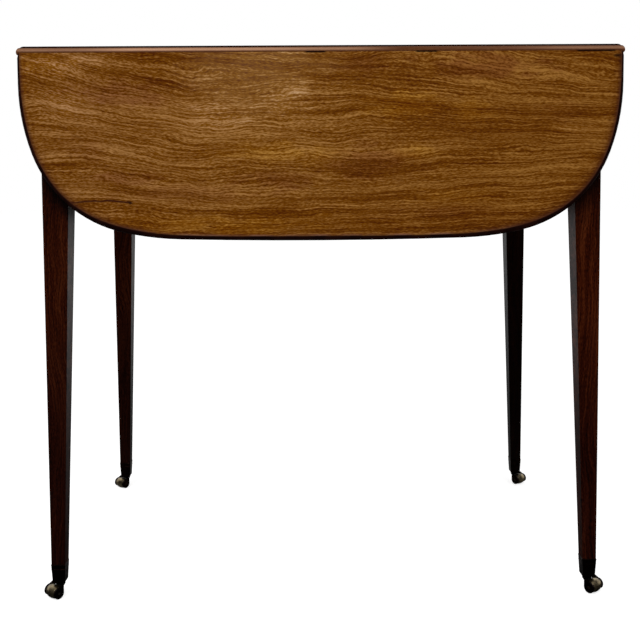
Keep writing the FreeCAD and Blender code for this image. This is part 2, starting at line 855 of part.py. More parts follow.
fly_pins = []
for side, side_name in SIDES.items():
    axis_y = side * fly_line
    middle = new_body(f"{side_name}_fly_rail")
    plan = new_sketch(middle, "XY_Plane", apron_low)
    right_end = shoulder(dim.fly_axis, axis_y, LEFT, fly_half)
    left_end = shoulder(-dim.fly_axis, axis_y, RIGHT, fly_half)
    outline(
        plan,
        right_end + list(reversed(left_end)),
        {1: (fly_half, dim.fly_axis, axis_y), 5: (fly_half, -dim.fly_axis, axis_y)},
    )
    grow(middle, plan, dim.frieze_height)
    for end in ENDS:
        knuckle_fingers(middle, end * dim.fly_axis, axis_y, -end, 0, dim.fly_pin_radius + dim.seat_clear)
    keep(middle.Label, middle)
    rail_ends = []
    for end, end_name in ENDS.items():
        axis_x = end * dim.fly_axis
        fly = new_body(f"{side_name}_{end_name}_fly")
        plan = new_sketch(fly, "XY_Plane", apron_low + dim.fly_play / 2)
        start = shoulder(axis_x, axis_y, end, finger_radius)
        outer_tip = end * (rail_end - dim.fly_end_length)
        inner_tip = outer_tip - end * dim.fly_tip_bevel
        tips = [(inner_tip, axis_y - finger_radius), (outer_tip, axis_y + finger_radius)]
        if side == FRONT:
            tips = [(outer_tip, axis_y - finger_radius), (inner_tip, axis_y + finger_radius)]
        outline(plan, start + list(reversed(tips)), {1: (fly_half, axis_x, axis_y)})
        grow(fly, plan, dim.frieze_height - dim.fly_play)
        sweep = new_sketch(fly, "XZ_Plane", axis_y)
        tip_low = top_under - dim.fly_tip_height
        bend_end = dim.fly_straight + dim.fly_sweep_radius
        outline(
            sweep,
            [
                (axis_x + end * dim.fly_straight, apron_low - over),
                (axis_x + end * dim.fly_straight, tip_low - dim.fly_sweep_radius),
                (axis_x + end * bend_end, tip_low),
                (outer_tip + end * over, tip_low),
                (outer_tip + end * over, apron_low - over),
            ],
            {1: (dim.fly_sweep_radius, axis_x + end * bend_end, tip_low - dim.fly_sweep_radius)},
        )
        sink(fly, sweep, 2 * dim.leg_square, both_ways=True)
        knuckle_fingers(fly, axis_x, axis_y, end, 1, dim.fly_pin_radius + dim.running_clear)
        keep(fly.Label, fly)
        fly_pins.append(
            rod(
                f"{side_name}_{end_name}_fly_pin",
                dim.fly_pin_radius,
                dim.frieze_height,
                axis_x,
                axis_y,
                apron_low,
            )
        )
        piece = new_body(f"{side_name}_{end_name}_rail_end")
        plan = new_sketch(piece, "XY_Plane", apron_low)
        outer_edge = outer_tip + end * dim.fly_tip_gap
        inner_edge = inner_tip + end * dim.fly_tip_gap
        outline(
            plan,
            [
                (outer_edge, side * fly_face),
                (end * rail_end, side * fly_face),
                (end * rail_end, side * rail_seam),
                (inner_edge, side * rail_seam),
            ],
        )
        grow(piece, plan, dim.frieze_height)
        rail_ends.append(piece)
    keep(f"{side_name}_rail_ends", group(f"{side_name}_rail_ends", rail_ends))
keep("fly_pins", group("fly_pins", fly_pins))

# Drawer end: a dovetailed top rail and a tenoned bottom rail
rail = new_body("drawer_top_rail")
plan = new_sketch(rail, "XY_Plane", kicker_low)
edge_points = []
for side in SIDES:
    near = dim.dovetail_root / 2
    far = dim.dovetail_tip / 2
    reach = side * (rail_inside + dim.dovetail_depth)
    points = [
        (drawer_rail_inside, side * rail_inside),
        (drawer_rail_middle - near, side * rail_inside),
        (drawer_rail_middle - far, reach),
        (drawer_rail_middle + far, reach),
        (drawer_rail_middle + near, side * rail_inside),
        (end_face, side * rail_inside),
    ]
    edge_points += points if side == FRONT else list(reversed(points))
outline(plan, edge_points)
grow(rail, plan, dim.top_rail_thickness)
keep("drawer_top_rail", rail)
boards = [
    block(
        "drawer_bottom_rail_board",
        (drawer_rail_inside, end_face),
        (-rail_inside, rail_inside),
        (apron_low, runner_top),
    ),
    block(
        "drawer_bottom_rail_tenons",
        (drawer_rail_middle - dim.rail_tenon_width / 2, drawer_rail_middle + dim.rail_tenon_width / 2),
        (-(rail_inside + dim.tenon_depth), rail_inside + dim.tenon_depth),
        (bottom_rail_middle - dim.rail_tenon_height / 2, bottom_rail_middle + dim.rail_tenon_height / 2),
    ),
]
keep("drawer_bottom_rail", join("drawer_bottom_rail", boards))

# Drawer sizes
drawer_half = rail_inside - dim.drawer_side_play
drawer_low = runner_top + dim.drawer_low_play
drawer_high = kicker_low - dim.drawer_high_play
front_inside = end_face - dim.drawer_front_thickness
tail_end = end_face - dim.drawer_lap
drawer_back_face = end_face - dim.drawer_length
back_inside = drawer_back_face + dim.drawer_board
bottom_low = drawer_low + dim.drawer_bottom_lift
bottom_high = bottom_low + dim.drawer_bottom_thickness
back_high = drawer_high - dim.drawer_back_drop
side_inside = drawer_half - dim.drawer_board


def bead_frame(label, face, outward):
    """Four mitred strips of bead round a drawer front."""
    strips = []
    low = (-drawer_half, drawer_low)
    high = (drawer_half, drawer_high)
    width = dim.bead_width
    outer = [low, (high[0], low[1]), high, (low[0], high[1])]
    inner = [
        (low[0] + width, low[1] + width),
        (high[0] - width, low[1] + width),
        (high[0] - width, high[1] - width),
        (low[0] + width, high[1] - width),
    ]
    for number in range(len(outer)):
        after = (number + 1) % len(outer)
        strip = new_body(f"{label}_{number}")
        plan = new_sketch(strip, "YZ_Plane", face - outward * dim.bead_depth)
        outline(plan, [outer[number], outer[after], inner[after], inner[number]])
        grow(strip, plan, dim.bead_depth + dim.bead_stand, reverse=outward == LEFT)
        strips.append(strip)
    return keep(label, group(label, strips))


def knob(name, face, outward, y):
    """A turned brass knob with a rose, a neck and a plain tang."""
    body = new_body(name)
    profile = new_sketch(body, "XY_Plane", zero)
    radii = [
        (-dim.knob_tang, zero),
        (-dim.knob_tang, dim.knob_tang_radius),
        (zero, dim.knob_tang_radius),
        (zero, dim.knob_rose_radius),
        (dim.knob_rose_thickness, dim.knob_rose_radius),
        (dim.knob_neck_end, dim.knob_neck_radius),
        (dim.knob_bulge_at, dim.knob_radius),
        (dim.knob_length, zero),
    ]
    neck_run = dim.knob_neck_end - dim.knob_rose_thickness
    neck_drop = dim.knob_rose_radius - dim.knob_neck_radius
    neck_curve = (neck_run * neck_run + neck_drop * neck_drop) / (2 * neck_drop)
    dome_rise = dim.knob_length - dim.knob_bulge_at
    dome_curve = (dome_rise * dome_rise + dim.knob_radius * dim.knob_radius) / (2 * dome_rise)
    outline(
        profile,
        radii,
        {
            4: (neck_curve, dim.knob_neck_end, dim.knob_neck_radius + neck_curve),
            6: (dome_curve, dim.knob_length - dome_curve, zero),
        },
    )
    turn_round(body, profile, "H_Axis")
    turned = FreeCAD.Rotation() if outward == RIGHT else HALF_TURN
    place(body, face, y, (drawer_low + drawer_high) / 2, turned)
    return body


# Dummy end: one tenoned board with a drawer drawn on it in bead
dummy = new_body("dummy_rail")
plan = new_sketch(dummy, "YZ_Plane", -end_face)
rectangle(plan, -rail_inside, rail_inside, apron_low, top_under)
grow(dummy, plan, dim.end_rail_thickness)
tenons = new_sketch(dummy, "YZ_Plane", -dummy_middle)
rectangle(tenons, -(rail_inside + dim.tenon_depth), rail_inside + dim.tenon_depth, side_tenon_low, side_tenon_high)
grow(dummy, tenons, dim.tenon_thickness, both_ways=True)
channel = new_sketch(dummy, "YZ_Plane", -end_face)
rectangle(channel, -drawer_half, drawer_half, drawer_low, drawer_high)
rectangle(
    channel,
    -(drawer_half - dim.bead_width),
    drawer_half - dim.bead_width,
    drawer_low + dim.bead_width,
    drawer_high - dim.bead_width,
)
sink(dummy, channel, dim.bead_depth, reverse=True)
holes = new_sketch(dummy, "YZ_Plane", -end_face)
for side in SIDES:
    ring(holes, side * dim.knob_spread, (drawer_low + drawer_high) / 2, dim.knob_tang_radius + dim.seat_clear)
sink(dummy, holes, dim.knob_tang, reverse=True)
keep("dummy_rail", dummy)
bead_frame("dummy_beads", -end_face, LEFT)
dummy_knobs = [knob(f"{name}_dummy_knob", -end_face, LEFT, side * dim.knob_spread) for side, name in SIDES.items()]
keep("dummy_knobs", group("dummy_knobs", dummy_knobs))

# Strips the drawer runs on and under, glue blocks and stops
for label, levels, inside in (
    ("drawer_runners", (apron_low, runner_top), drawer_rail_inside),
    ("drawer_kickers", (kicker_low, top_under), drawer_rail_inside),
):
    strips = []
    for side, side_name in SIDES.items():
        limits = (side * rail_inside, side * (rail_inside - dim.strip_width))
        strip = block(f"{side_name}_{label}", (-dummy_inside, inside), limits, levels)
        if label == "drawer_kickers":
            tools = []
            for number, end in enumerate((LEFT, zero, RIGHT)):
                spot = (end * top_screw_at, side * kicker_middle, kicker_low)
                hole = f"{side_name}_kicker{number}"
                tools.append(
                    taper_head(
                        f"{hole}_sink", dim.screw_head_radius, dim.screw_shank_radius, dim.screw_head_depth, *spot
                    )
                )
                tools.append(
                    rod(
                        f"{hole}_hole",
                        dim.screw_shank_radius + dim.seat_clear,
                        dim.top_rail_thickness + over,
                        *spot,
                    )
                )
            strip = cut(f"{side_name}_{label}_drilled", strip, tools)
        strips.append(strip)
    keep(label, group(label, strips))
blocks = []
for side, side_name in SIDES.items():
    glue_block = new_body(f"{side_name}_corner_block")
    plan = new_sketch(glue_block, "XY_Plane", runner_top)
    outline(
        plan,
        [
            (-dummy_inside, side * rail_inside),
            (-dummy_inside + dim.block_leg, side * rail_inside),
            (-dummy_inside, side * (rail_inside - dim.block_leg)),
        ],
    )
    grow(glue_block, plan, kicker_low - runner_top)
    blocks.append(glue_block)
keep("corner_blocks", group("corner_blocks", blocks))
stops = []
for side, side_name in SIDES.items():
    at = side * dim.stop_spread
    near = drawer_rail_inside
    far = front_inside - dim.stop_gap
    stops.append(
        block(
            f"{side_name}_stop",
            (near, far),
            (at - dim.stop_width / 2, at + dim.stop_width / 2),
            (runner_top, runner_top + dim.stop_height),
        )
    )
keep("drawer_stops", group("drawer_stops", stops))
top_screws = [
    screw(f"top_screw{number}", dim.top_screw_length, x, y, kicker_low)
    for number, (x, y) in enumerate(top_screw_spots)
]
keep("top_screws", group("top_screws", top_screws))


# Drawer: dovetailed box, its bottom slid into grooves from the back
def tail_levels(low, high):
    """The middle height of each tail between two levels."""
    pitch = (high - low) / TAILS
    return [low + number * pitch + pitch / 2 for number in range(TAILS)]


def tail_corners(level, root_x, tip_x, spare):
    """One tail's corners from its upper root round to its lower root."""
    near = dim.tail_root / 2 + spare
    far = near + dim.tail_flare
    return [(root_x, level + near), (tip_x, level + far), (tip_x, level - far), (root_x, level - near)]


front = new_body("drawer_front")
plan = new_sketch(front, "YZ_Plane", front_inside)
rectangle(plan, -drawer_half, drawer_half, drawer_low, drawer_high)
grow(front, plan, dim.drawer_front_thickness - dim.bead_depth)
plan = new_sketch(front, "YZ_Plane", end_face - dim.bead_depth)
rectangle(
    plan,
    -(drawer_half - dim.bead_width),
    drawer_half - dim.bead_width,
    drawer_low + dim.bead_width,
    drawer_high - dim.bead_width,
)
grow(front, plan, dim.bead_depth)
for side in SIDES:
    sockets = new_sketch(front, "XZ_Plane", side * drawer_half)
    for level in tail_levels(drawer_low, drawer_high):
        tail = tail_corners(level, front_inside, tail_end - dim.bead_width, dim.seat_clear)
        mouth = front_inside - over
        outline(sockets, tail + [(mouth, tail[3][1]), (mouth, tail[0][1])])
    sink(front, sockets, 2 * dim.drawer_board, both_ways=True)
groove = new_sketch(front, "YZ_Plane", front_inside)
rectangle(groove, -(side_inside + dim.groove_depth), side_inside + dim.groove_depth, bottom_low, bottom_high)
sink(front, groove, dim.groove_depth, reverse=True)
holes = new_sketch(front, "YZ_Plane", end_face)
for side in SIDES:
    ring(holes, side * dim.knob_spread, (drawer_low + drawer_high) / 2, dim.knob_tang_radius + dim.seat_clear)
sink(front, holes, dim.knob_tang)
keep("drawer_front", front)
for side, side_name in SIDES.items():
    board = new_body(f"drawer_{side_name}_side")
    shape = new_sketch(board, "XZ_Plane", side * drawer_half)
    corners = [(back_inside, drawer_high), (front_inside, drawer_high)]
    for level in reversed(tail_levels(drawer_low, drawer_high)):
        corners += tail_corners(level, front_inside, tail_end - dim.bead_width, zero)
    corners += [(front_inside, drawer_low), (back_inside, drawer_low)]
    for level in tail_levels(bottom_high, back_high):
        corners += list(reversed(tail_corners(level, back_inside, drawer_back_face, zero)))
    outline(shape, corners)
    grow(board, shape, dim.drawer_board, reverse=side == FRONT)
    groove = new_sketch(board, "XZ_Plane", side * side_inside)
    rectangle(groove, drawer_back_face - over, end_face, bottom_low, bottom_high)
    sink(board, groove, 2 * dim.groove_depth, both_ways=True)
    keep(board.Label, board)
back = new_body("drawer_back")
plan = new_sketch(back, "YZ_Plane", drawer_back_face)
rectangle(plan, -drawer_half, drawer_half, bottom_high, back_high)
grow(back, plan, dim.drawer_board)
for side in SIDES:
    sockets = new_sketch(back, "XZ_Plane", side * drawer_half)
    for level in tail_levels(bottom_high, back_high):
        tail = tail_corners(level, back_inside, drawer_back_face, dim.seat_clear)
        outline(sockets, tail)
    sink(back, sockets, 2 * dim.drawer_board, both_ways=True)
keep("drawer_back", back)
floor = block(
    "drawer_bottom",
    (drawer_back_face, front_inside + dim.groove_depth - dim.seat_clear),
    (-(side_inside + dim.groove_depth - dim.seat_clear), side_inside + dim.groove_depth - dim.seat_clear),
    (bottom_low + dim.seat_clear, bottom_high - dim.seat_clear),
)
keep("drawer_bottom", floor)
bead_frame("drawer_beads", end_face, RIGHT)
drawer_knobs = [knob(f"{name}_drawer_knob", end_face, RIGHT, side * dim.knob_spread) for side, name in SIDES.items()]
keep("drawer_knobs", group("drawer_knobs", drawer_knobs))

# Castors: square cup on the foot, swivelling horn, barrel wheel on a pin
swivel_room = dim.spindle_room
boss_top = cup_low - swivel_room
boss_low = boss_top - dim.horn_boss_height
cheek_half = dim.wheel_width / 2 + dim.wheel_side_gap + dim.cheek_thickness
head_low = foot_low + swivel_room
for side, side_name in SIDES.items():
    for end, end_name in ENDS.items():
        name = f"{side_name}_{end_name}"
        centre_x = end * (frame_half - ankle_half)
        centre_y = side * (dim.frame_depth / 2 - ankle_half)
        trail = dim.castor_rest_angle.number - 90
        if end == LEFT:
            trail = -90 - dim.castor_rest_angle.number
        rest = FreeCAD.Rotation(FreeCAD.Vector(0, 0, 1), trail)

        cup = new_body(f"castor_cup_{name}")
        rim_half = ankle_half + dim.cup_proud
        low_half = dim.cup_foot / 2
        rim = new_sketch(cup, "XY_Plane", dim.castor_height)
        rectangle(rim, -rim_half, rim_half, -rim_half, rim_half)
        low = new_sketch(cup, "XY_Plane", cup_low)
        rectangle(low, -low_half, low_half, -low_half, low_half)
        shell = cup.newObject("PartDesign::AdditiveLoft", f"{cup.Name}_shell")
        shell.Profile = (rim, [""])
        shell.Sections = [(low, [""])]
        shell.Ruled = True
        cup.Tip = shell
        doc.recompute()
        names = []
        for number, edge in enumerate(shell.Shape.Edges, start=1):
            box = edge.BoundBox
            if box.ZMax < (cup_low + dim.seat_clear).number:
                names.append(f"Edge{number}")
        rounding = cup.newObject("PartDesign::Fillet", f"{cup.Name}_round")
        rounding.Base = (shell, names)
        bind(rounding, "Radius", dim.cup_round)
        cup.Tip = rounding
        doc.recompute()
        well = new_sketch(cup, "XY_Plane", dim.castor_height)
        half_foot = dim.foot_tenon / 2 + dim.seat_clear
        rectangle(well, -half_foot, half_foot, -half_foot, half_foot)
        sink(cup, well, dim.cup_height - dim.cup_floor)
        eye = new_sketch(cup, "XY_Plane", dim.castor_height)
        ring(eye, zero, zero, dim.spindle_radius + dim.running_clear)
        sink(cup, eye, dim.cup_height + over)
        place(cup, centre_x, centre_y, zero)
        keep(cup.Label, cup)

        horn = new_body(f"castor_horn_{name}")
        profile = new_sketch(horn, "XZ_Plane", zero)
        axle_x = dim.castor_trail
        axle_z = dim.wheel_radius
        end_radius = dim.cheek_end_radius
        outline(
            profile,
            [
                (-dim.horn_boss_radius, boss_top),
                (dim.horn_boss_radius, boss_top),
                (axle_x, axle_z + end_radius),
                (axle_x + end_radius, axle_z),
                (axle_x, axle_z - end_radius),
                (axle_x - end_radius, axle_z),
                (-dim.horn_boss_radius, boss_low),
            ],
            {quarter: (end_radius, axle_x, axle_z) for quarter in (2, 3, 4)},
        )
        grow(horn, profile, 2 * cheek_half, both_ways=True)
        trim = new_sketch(horn, "XY_Plane", boss_top)
        far = axle_x + end_radius + over
        wide = cheek_half + over
        for way in (FRONT, BACK):
            outline(
                trim,
                [
                    (-dim.horn_boss_radius - over, way * wide),
                    (-dim.horn_boss_radius - over, way * dim.spindle_head_radius),
                    (zero, way * dim.horn_boss_radius),
                    (axle_x - end_radius, way * cheek_half),
                    (far, way * cheek_half),
                    (far, way * wide),
                ],
            )
        sink(horn, trim, dim.castor_height)
        slot = new_sketch(horn, "XZ_Plane", zero)
        ring(slot, axle_x, axle_z, dim.wheel_radius + dim.wheel_room)
        sink(horn, slot, 2 * (dim.wheel_width / 2 + dim.wheel_side_gap), both_ways=True)
        spindle = new_sketch(horn, "XZ_Plane", zero)
        outline(
            spindle,
            [
                (zero, boss_low),
                (dim.horn_boss_radius, boss_low),
                (dim.horn_boss_radius, boss_top),
                (dim.spindle_radius, boss_top),
                (dim.spindle_radius, head_low),
                (dim.spindle_head_radius, head_low),
                (dim.spindle_head_radius, head_low + dim.spindle_head_height),
                (zero, head_low + dim.spindle_head_height),
            ],
        )
        turn_round(horn, spindle, "V_Axis")
        eye = new_sketch(horn, "XZ_Plane", zero)
        ring(eye, axle_x, axle_z, dim.axle_radius + dim.seat_clear)
        sink(horn, eye, 2 * (cheek_half + over), both_ways=True)
        place(horn, centre_x, centre_y, zero, rest)
        keep(horn.Label, horn)

        axle = new_body(f"castor_axle_{name}")
        spot = new_sketch(axle, "XZ_Plane", zero)
        ring(spot, axle_x, axle_z, dim.axle_radius)
        grow(axle, spot, 2 * cheek_half, both_ways=True)
        place(axle, centre_x, centre_y, zero, rest)
        keep(axle.Label, axle)

        wheel = new_body(f"castor_wheel_{name}")
        profile = new_sketch(wheel, "XY_Plane", axle_z)
        half_width = dim.wheel_width / 2
        bore = axle_x + dim.axle_radius + dim.running_clear
        hub = axle_x + dim.wheel_hub_radius
        edge = axle_x + dim.wheel_radius - dim.wheel_crown
        barrel = (half_width * half_width + dim.wheel_crown * dim.wheel_crown) / (2 * dim.wheel_crown)
        outline(
            profile,
            [
                (bore, -half_width),
                (hub, -half_width),
                (hub + dim.wheel_dish, -half_width + dim.wheel_dish),
                (edge - dim.wheel_dish, -half_width + dim.wheel_dish),
                (edge, -half_width),
                (edge, half_width),
                (edge - dim.wheel_dish, half_width - dim.wheel_dish),
                (hub + dim.wheel_dish, half_width - dim.wheel_dish),
                (hub, half_width),
                (bore, half_width),
            ],
            {4: (barrel, axle_x + dim.wheel_radius - barrel, zero)},
        )
        line = len(profile.Geometry)
        profile.addGeometry(
            Part.LineSegment(
                FreeCAD.Vector(axle_x.number, -half_width.number, 0),
                FreeCAD.Vector(axle_x.number, half_width.number, 0),
            ),
            True,
        )
        hold(profile, "DistanceX", line, 1, axle_x)
        hold(profile, "DistanceY", line, 1, -half_width)
        hold(profile, "DistanceX", line, 2, axle_x)
        hold(profile, "DistanceY", line, 2, half_width)
        turn_round(wheel, profile, "Axis0")
        place(wheel, centre_x, centre_y, zero, rest)
        keep(wheel.Label, wheel)

doc.recompute()
for item in doc.Objects:
    if "Invalid" in item.State or "Error" in item.State:
        raise RuntimeError(f"{item.Label} could not be made: {item.State}")
os.makedirs("parts", exist_ok=True)
for label, item in NODES.items():
    if item.Shape.isNull() or not item.Shape.isValid():
        raise RuntimeError(f"{label} has no sound shape")
    item.Shape.exportStep(os.path.join("parts", f"{label}.step"))
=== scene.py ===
import math

import bpy
import numpy as np
from mathutils import Matrix


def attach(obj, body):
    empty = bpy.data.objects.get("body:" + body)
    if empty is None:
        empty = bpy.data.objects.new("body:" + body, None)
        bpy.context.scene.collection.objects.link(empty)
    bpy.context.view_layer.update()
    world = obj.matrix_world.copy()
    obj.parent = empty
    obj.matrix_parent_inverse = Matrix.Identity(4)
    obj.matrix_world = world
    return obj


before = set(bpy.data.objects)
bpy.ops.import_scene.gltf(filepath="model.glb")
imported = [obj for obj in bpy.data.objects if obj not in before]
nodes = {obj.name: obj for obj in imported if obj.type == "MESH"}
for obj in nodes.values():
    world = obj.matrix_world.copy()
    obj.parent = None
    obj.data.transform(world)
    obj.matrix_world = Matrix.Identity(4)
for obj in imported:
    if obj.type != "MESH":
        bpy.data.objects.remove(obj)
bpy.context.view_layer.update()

bpy.context.scene.view_settings.view_transform = "Standard"


# Legs: four solid posts of dark red-brown wood, square at the rails and tapered below on the two inner faces.
# Sawn with the grain running up, planed, mortised for the rails and finished with an old, nearly black polish.
def new_group(name, inputs, outputs):
    """An empty shader group with its sockets, and the nodes that stand for them inside."""
    group = bpy.data.node_groups.new(name, "ShaderNodeTree")
    for title, kind in inputs:
        group.interface.new_socket(title, in_out="INPUT", socket_type=kind)
    for title, kind in outputs:
        group.interface.new_socket(title, in_out="OUTPUT", socket_type=kind)
    return group, group.nodes.new("NodeGroupInput"), group.nodes.new("NodeGroupOutput")


def add(tree, kind, links=None, **settings):
    """A new node with its settings, numbers for its sockets and links from other sockets."""
    node = tree.nodes.new(kind)
    for name, value in settings.items():
        setattr(node, name, value)
    for key, value in (links or {}).items():
        if isinstance(value, bpy.types.NodeSocket):
            tree.links.new(value, node.inputs[key])
        else:
            node.inputs[key].default_value = value
    return node


def maths(tree, operation, first, second=0.0, third=0.0):
    return add(tree, "ShaderNodeMath", {0: first, 1: second, 2: third}, operation=operation).outputs[0]


def times(tree, first, second):
    return maths(tree, "MULTIPLY", first, second)


def distance(tree, value, centre):
    """How far a value is from a centre, either way."""
    return maths(tree, "ABSOLUTE", maths(tree, "SUBTRACT", value, centre))


def spread(tree, value, low, high, to_low=0.0, to_high=1.0):
    """A value's place between low and high, carried over to another range and kept inside it."""
    links = {"Value": value, "From Min": low, "From Max": high, "To Min": to_low, "To Max": to_high}
    return add(tree, "ShaderNodeMapRange", links).outputs["Result"]


def vector_maths(tree, operation, first, second):
    return add(tree, "ShaderNodeVectorMath", {0: first, 1: second}, operation=operation).outputs[0]


def part_of(tree, vector, axis):
    return add(tree, "ShaderNodeSeparateXYZ", {0: vector}).outputs[axis]


def lifted(tree, rise):
    """A shift along Z alone."""
    return add(tree, "ShaderNodeCombineXYZ", {"Z": rise}).outputs[0]


def noise(tree, vector, scale, detail, roughness):
    """Smooth noise between 0 and 1, with its own scale along each axis."""
    stretched = vector_maths(tree, "MULTIPLY", vector, scale)
    links = {"Vector": stretched, "Scale": 1.0, "Detail": detail, "Roughness": roughness}
    return add(tree, "ShaderNodeTexNoise", links).outputs["Fac"]


def blend(tree, factor, first, second, mode="MIX"):
    mix = add(tree, "ShaderNodeMix", {"Factor": factor}, data_type="RGBA", blend_type=mode)
    for index, value in ((6, first), (7, second)):
        if isinstance(value, bpy.types.NodeSocket):
            tree.links.new(value, mix.inputs[index])
        else:
            mix.inputs[index].default_value = value
    return mix.outputs[2]


grain_parts = ("Streaks", "Flecks", "Lines", "Fine", "Bands", "Cloud", "Pores", "Height")
grain, given, result = new_group(
    "board_grain",
    [("Vector", "NodeSocketVector")],
    [(title, "NodeSocketFloat") for title in grain_parts],
)
point = given.outputs["Vector"]


def drift(scale, detail, width):
    """How far the fibres wander to either side: (noise - 1/2) * width."""
    return maths(grain, "MULTIPLY_ADD", noise(grain, point, scale, detail, 0.5), width, -width / 2)


sway = drift((4.0, 3.0, 9.0), 2.0, 0.06)
wave = drift((19.0, 8.0, 36.0), 2.0, 0.011)
ripple = drift((150.0, 40.0, 90.0), 1.0, 0.0016)
wander = maths(grain, "ADD", maths(grain, "ADD", sway, wave), ripple)
bent = vector_maths(grain, "ADD", point, lifted(grain, wander))
streaks = noise(grain, bent, (12.0, 60.0, 720.0), 1.0, 0.5)
flecks = noise(grain, bent, (220.0, 200.0, 1100.0), 1.0, 0.6)
bands = noise(grain, bent, (3.6, 20.0, 90.0), 3.0, 0.42)
cloud = noise(grain, bent, (4.5, 6.0, 17.0), 2.0, 0.5)
line_half = 0.06
pale = distance(grain, noise(grain, bent, (7.0, 30.0, 430.0), 2.0, 0.5), 0.5)
sunk = distance(grain, noise(grain, bent, (9.0, 36.0, 540.0), 2.0, 0.5), 0.47)
raised = spread(grain, pale, line_half, 0.0, 0.5, 1.0)
lines = maths(grain, "SUBTRACT", raised, spread(grain, sunk, line_half, 0.0, 0.0, 0.5))
fine_pitch, fine_slip = 1450.0, 9.0
slip = times(grain, noise(grain, bent, (45.0, 40.0, 230.0), 1.0, 0.5), fine_slip)
phase = maths(grain, "MULTIPLY_ADD", part_of(grain, bent, "Z"), fine_pitch, slip)
fine = maths(grain, "MULTIPLY_ADD", maths(grain, "SINE", phase), 0.5, 0.5)
fibres = noise(grain, bent, (60.0, 300.0, 1500.0), 2.0, 0.6)
pores = spread(grain, noise(grain, bent, (120.0, 500.0, 1300.0), 1.0, 0.4), 0.6, 0.72)
for title, value in (("Streaks", streaks), ("Flecks", flecks), ("Bands", bands), ("Cloud", cloud)):
    grain.links.new(spread(grain, value, 0.3, 0.7), result.inputs[title])
for title, value in (("Lines", lines), ("Fine", fine), ("Pores", pores)):
    grain.links.new(value, result.inputs[title])
grain.links.new(maths(grain, "SUBTRACT", fibres, pores), result.inputs["Height"])


def new_material(name):
    material = bpy.data.materials.new(name)
    material.use_nodes = True
    return material, material.node_tree, material.node_tree.nodes["Principled BSDF"]


def place(tree):
    """The point that is looked at, in metres from the middle of the floor under the table."""
    return add(tree, "ShaderNodeTexCoord").outputs["Object"]


def relief(tree, height, edge_radius, strength, depth):
    """A normal with edges eased to a radius and a fine relief from a height."""
    eased = add(tree, "ShaderNodeBevel", {"Radius": edge_radius}, samples=4).outputs[0]
    links = {"Strength": strength, "Distance": depth, "Height": height, "Normal": eased}
    return add(tree, "ShaderNodeBump", links).outputs[0]


quarter_turn = math.pi / 2
grain_turns = {
    "X": (0.0, 0.0, 0.0),
    "X flat": (quarter_turn, 0.0, 0.0),
    "Y": (0.0, 0.0, quarter_turn),
    "Z": (0.0, quarter_turn, 0.0),
}
grain_shares = {"Streaks": 0.34, "Flecks": 0.4, "Lines": 0.1, "Fine": 0.13, "Bands": 0.22, "Cloud": 0.22}
darkest, lightest = 0.34, 1.06
polish_rough = 0.15


def wood(name, grain_way, colours, rough, specular, coat, pore_depth, start=(0.0, 0.0, 0.0)):
    """Wood with its grain along one axis, on a standing or a flat board.

    The parts of the grain, each times its share, add up to a tone, and the tone picks from dark to light.
    """
    material, tree, shader = new_material(name)
    dark, middle, light = colours
    links = {"Vector": place(tree), "Location": start, "Rotation": grain_turns[grain_way]}
    turned = add(tree, "ShaderNodeMapping", links).outputs[0]
    board = add(tree, "ShaderNodeGroup", node_tree=grain)
    tree.links.new(turned, board.inputs["Vector"])
    tone = 0.0
    for title, share in grain_shares.items():
        tone = maths(tree, "MULTIPLY_ADD", board.outputs[title], share, tone)
    tone = spread(tree, tone, darkest, lightest)
    ramp = add(tree, "ShaderNodeValToRGB", {"Fac": tone})
    ramp.color_ramp.elements[0].color = (*dark, 1.0)
    ramp.color_ramp.elements[1].color = (*light, 1.0)
    ramp.color_ramp.elements.new(0.5).color = (*middle, 1.0)
    pore = times(tree, board.outputs["Pores"], pore_depth)
    pore_colour = (*(0.4 * part for part in dark), 1.0)
    tree.links.new(blend(tree, pore, ramp.outputs["Color"], pore_colour), shader.inputs["Base Color"])
    tree.links.new(spread(tree, tone, 0.0, 1.0, rough + 0.06, rough - 0.04), shader.inputs["Roughness"])
    shader.inputs["Specular IOR Level"].default_value = specular
    shader.inputs["Coat Weight"].default_value = coat
    shader.inputs["Coat Roughness"].default_value = polish_rough
    surface = relief(tree, board.outputs["Height"], edge_radius=0.0008, strength=0.1, depth=0.0004)
    tree.links.new(surface, shader.inputs["Normal"])
    return material


def dress(names, material):
    for name in names:
        nodes[name].data.materials.clear()
        nodes[name].data.materials.append(material)


def overlay(material, mask, colour, mode="MIX"):
    """Lay a colour over what the material has so far, where the mask is 1."""
    tree = material.node_tree
    target = tree.nodes["Principled BSDF"].inputs["Base Color"]
    tree.links.new(blend(tree, mask, target.links[0].from_socket, (*colour, 1.0), mode), target)


def tint(material, mask, colour):
    """Multiply what the material has so far by a colour, where the mask is 1."""
    overlay(material, mask, colour, "MULTIPLY")


def along(tree, axis):
    return part_of(tree, place(tree), axis)


def facing(tree, axis):
    """How squarely the surface faces along one axis, either way: 1 on a flat face, 0 on a face beside it."""
    normal = add(tree, "ShaderNodeTexCoord").outputs["Normal"]
    return maths(tree, "ABSOLUTE", part_of(tree, normal, axis))


hinge_height = 0.6992
leaf_half, leaf_reach = 0.3769, 0.2337
side_power, drop_power = 5.08, 2.548
edge_slope = 11.0


